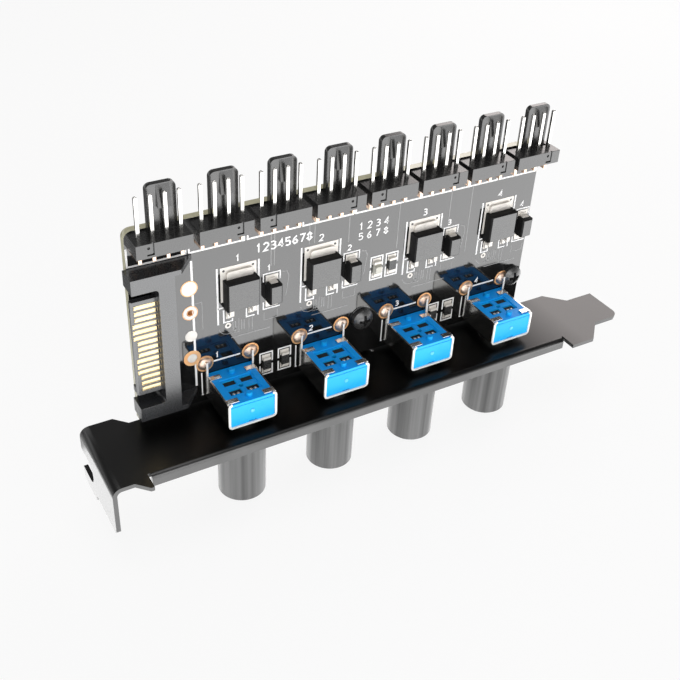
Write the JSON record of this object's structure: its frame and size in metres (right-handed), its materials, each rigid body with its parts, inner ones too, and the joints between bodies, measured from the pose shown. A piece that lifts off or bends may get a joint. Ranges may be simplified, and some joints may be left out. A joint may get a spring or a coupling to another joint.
{
  "type": "pc fan controller hub",
  "caption": "Expansion-slot bracket with an upright circuit board that carries a row of fan headers, a drive power plug and turning speed dials with cylindrical knobs below the plate.",
  "frame": {"origin": "centre of the screw notch, on the seating face of the bracket's tab", "axes": "+X along the bracket to its tongue, +Z from the dials into the computer, -Y to the populated side of the board"},
  "size_m": [0.12, 0.0215, 0.069],
  "materials": {
    "bracket": "black paint, semi-gloss",
    "board": "black solder mask, glossy",
    "screws": "black",
    "header": "moulded black",
    "pins": "tin plated",
    "plug": "moulded dark grey",
    "contacts": "gold plated",
    "chip": "moulded black",
    "leads": "tinned",
    "resistor": "black glaze",
    "lamp": "clear lens",
    "frame": "nickel plated",
    "dial_body": "blue moulded",
    "track": "carbon film",
    "shaft": "turned",
    "wiper": "spring strip",
    "knob": "dark grey, satin",
    "solder": "solder on copper"
  },
  "bodies": {
    "hub": {"bracket": "bracket", "circuit_board": "board", "board_screws": "screws", "sata_housing": "plug", "sata_contacts": "contacts", "transistor_leads": "leads", "diode_leads": "leads", "chip_resistors": "resistor", "chip_terminals": "leads", "status_led": "lamp", "pot_tracks": "track", "pot_terminals": "leads", "solder_joints": "solder", "fan_header_1": "header", "fan_pins_1": "pins", "fan_header_2": "header", "fan_pins_2": "pins", "fan_header_3": "header", "fan_pins_3": "pins", "fan_header_4": "header", "fan_pins_4": "pins", "fan_header_5": "header", "fan_pins_5": "pins", "fan_header_6": "header", "fan_pins_6": "pins", "fan_header_7": "header", "fan_pins_7": "pins", "fan_header_8": "header", "fan_pins_8": "pins", "transistor_1": "chip", "diode_1": "chip", "pot_frame_1": "frame", "pot_body_1": "dial_body", "transistor_2": "chip", "diode_2": "chip", "pot_frame_2": "frame", "pot_body_2": "dial_body", "transistor_3": "chip", "diode_3": "chip", "pot_frame_3": "frame", "pot_body_3": "dial_body", "transistor_4": "chip", "diode_4": "chip", "pot_frame_4": "frame", "pot_body_4": "dial_body"},
    "dial_1": {"knob_1": "knob", "pot_shaft_1": "shaft", "pot_wiper_1": "wiper"},
    "dial_2": {"knob_2": "knob", "pot_shaft_2": "shaft", "pot_wiper_2": "wiper"},
    "dial_3": {"knob_3": "knob", "pot_shaft_3": "shaft", "pot_wiper_3": "wiper"},
    "dial_4": {"knob_4": "knob", "pot_shaft_4": "shaft", "pot_wiper_4": "wiper"}
  },
  "joints": [
    {"name": "dial_1_turn", "type": "hinge", "parent": "hub", "child": "dial_1", "pos_m": [0.02844, -0.00473, 0], "axis": [0, 0, 1], "range_deg": [-140, 140]},
    {"name": "dial_2_turn", "type": "hinge", "parent": "hub", "child": "dial_2", "pos_m": [0.04874, -0.00473, 0], "axis": [0, 0, 1], "range_deg": [-140, 140]},
    {"name": "dial_3_turn", "type": "hinge", "parent": "hub", "child": "dial_3", "pos_m": [0.06904, -0.00473, 0], "axis": [0, 0, 1], "range_deg": [-140, 140]},
    {"name": "dial_4_turn", "type": "hinge", "parent": "hub", "child": "dial_4", "pos_m": [0.08934, -0.00473, 0], "axis": [0, 0, 1], "range_deg": [-140, 140]}
  ]
}
